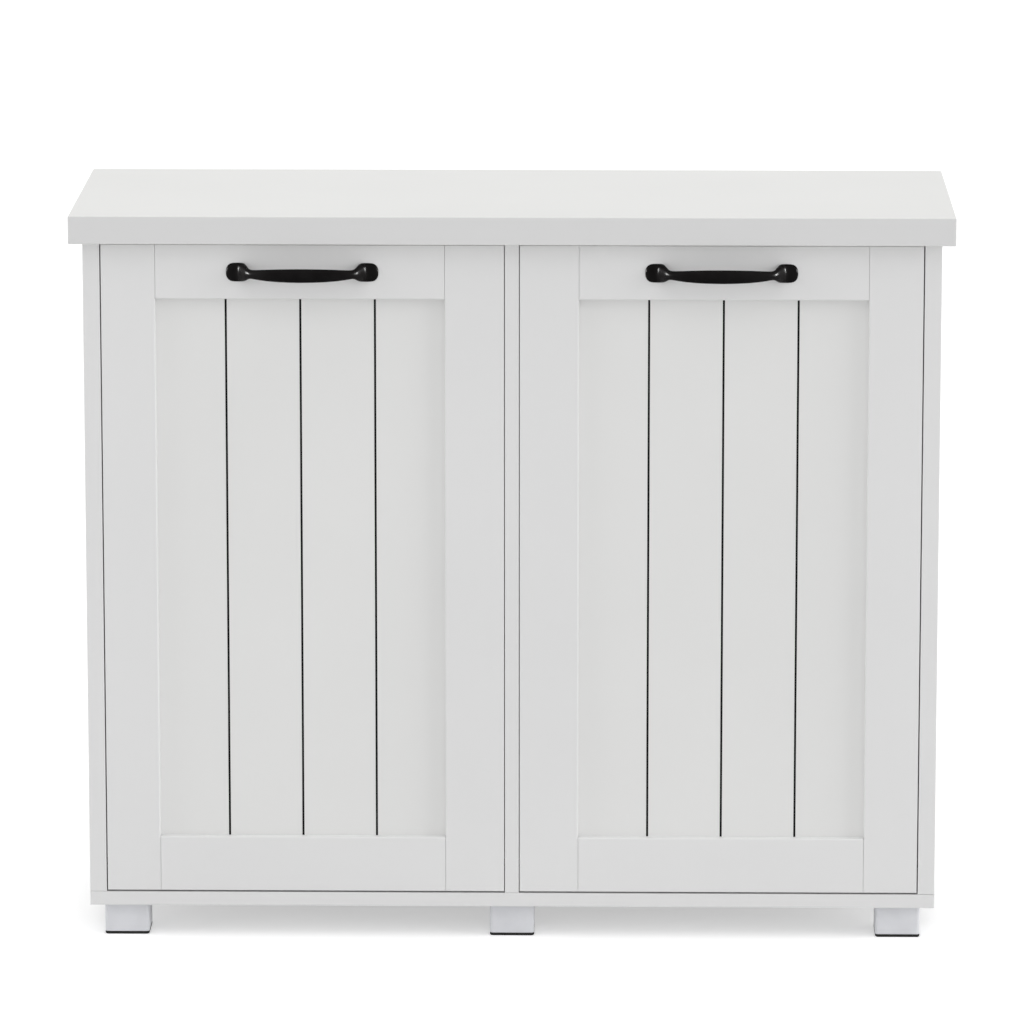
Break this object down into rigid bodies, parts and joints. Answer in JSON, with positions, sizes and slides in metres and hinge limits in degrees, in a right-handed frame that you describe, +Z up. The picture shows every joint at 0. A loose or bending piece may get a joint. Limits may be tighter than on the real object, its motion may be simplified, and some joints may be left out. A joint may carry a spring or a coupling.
{
  "type": "tilt-out trash bin cabinet",
  "caption": "White free-standing cabinet with side-by-side plank-panel doors that tip forward on low pivot pins, each carrying a cradle for a waste bin.",
  "frame": {"origin": "on the floor, under the middle of the whole object's bounding box, handles included", "axes": "+Z up, the doors face -Y, +X to the right of a person who faces the doors"},
  "size_m": [0.94, 0.365, 0.79],
  "materials": {
    "white_board": "smooth white satin lacquer on board",
    "door_panel_paint": "white satin lacquer, the grooves black",
    "door_frame_paint": "white satin lacquer",
    "cradle_board": "white laminate on board",
    "hardboard": "raw brown hardboard behind, white inside",
    "black_metal": "black satin coat on cast metal",
    "foot_plastic": "cool white moulded plastic, satin",
    "black_rubber": "matt black pad",
    "white_plastic": "white moulded plastic",
    "magnet": "dark grey steel pole plates",
    "zinc": "dull die-cast zinc",
    "steel": "plain bright steel",
    "zinc_steel": "zinc-plated steel"
  },
  "bodies": {
    "cabinet": {"top_panel": "white_board", "left_side_panel": "white_board", "left_back_panel": "hardboard", "right_side_panel": "white_board", "right_back_panel": "hardboard", "centre_divider": "white_board", "bottom_panel": "white_board", "rear_stretcher": "white_board", "carcass_cam_locks": "zinc", "carcass_cam_bolts": "zinc_steel", "bottom_panel_screws": "zinc_steel", "back_panel_nails": "zinc_steel", "front_left_foot": "foot_plastic", "front_middle_foot": "foot_plastic", "front_right_foot": "foot_plastic", "rear_left_foot": "foot_plastic", "rear_middle_foot": "foot_plastic", "rear_right_foot": "foot_plastic", "foot_pads": "black_rubber", "foot_screws": "zinc_steel", "pivot_bushes": "white_plastic", "stop_pegs": "steel", "catch_bodies": "white_plastic", "catch_magnets": "magnet", "catch_screws": "zinc_steel"},
    "left_door": {"left_door_panel": "door_panel_paint", "left_door_outer_stile": "door_frame_paint", "left_door_inner_stile": "door_frame_paint", "left_door_top_rail": "door_frame_paint", "left_door_bottom_rail": "door_frame_paint", "left_door_handle": "black_metal", "left_handle_screws": "zinc_steel", "left_bin_shelf": "cradle_board", "left_bin_rear_rail": "cradle_board", "left_bin_outer_cheek": "cradle_board", "left_bin_inner_cheek": "cradle_board", "left_bin_cam_locks": "zinc", "left_bin_cam_bolts": "zinc_steel", "left_bin_screws": "zinc_steel", "left_door_pivot_pins": "steel", "left_strike_plate": "steel", "left_strike_screw": "zinc_steel"},
    "right_door": {"right_door_panel": "door_panel_paint", "right_door_outer_stile": "door_frame_paint", "right_door_inner_stile": "door_frame_paint", "right_door_top_rail": "door_frame_paint", "right_door_bottom_rail": "door_frame_paint", "right_door_handle": "black_metal", "right_handle_screws": "zinc_steel", "right_bin_shelf": "cradle_board", "right_bin_rear_rail": "cradle_board", "right_bin_outer_cheek": "cradle_board", "right_bin_inner_cheek": "cradle_board", "right_bin_cam_locks": "zinc", "right_bin_cam_bolts": "zinc_steel", "right_bin_screws": "zinc_steel", "right_door_pivot_pins": "steel", "right_strike_plate": "steel", "right_strike_screw": "zinc_steel"}
  },
  "joints": [
    {"name": "left_door_tilt", "type": "hinge", "parent": "cabinet", "child": "left_door", "pos_m": [-0.22255, -0.1435, 0.0819], "axis": [1, 0, 0], "range_deg": [0, 35]},
    {"name": "right_door_tilt", "type": "hinge", "parent": "cabinet", "child": "right_door", "pos_m": [0.22255, -0.1435, 0.0819], "axis": [1, 0, 0], "range_deg": [0, 35]}
  ]
}
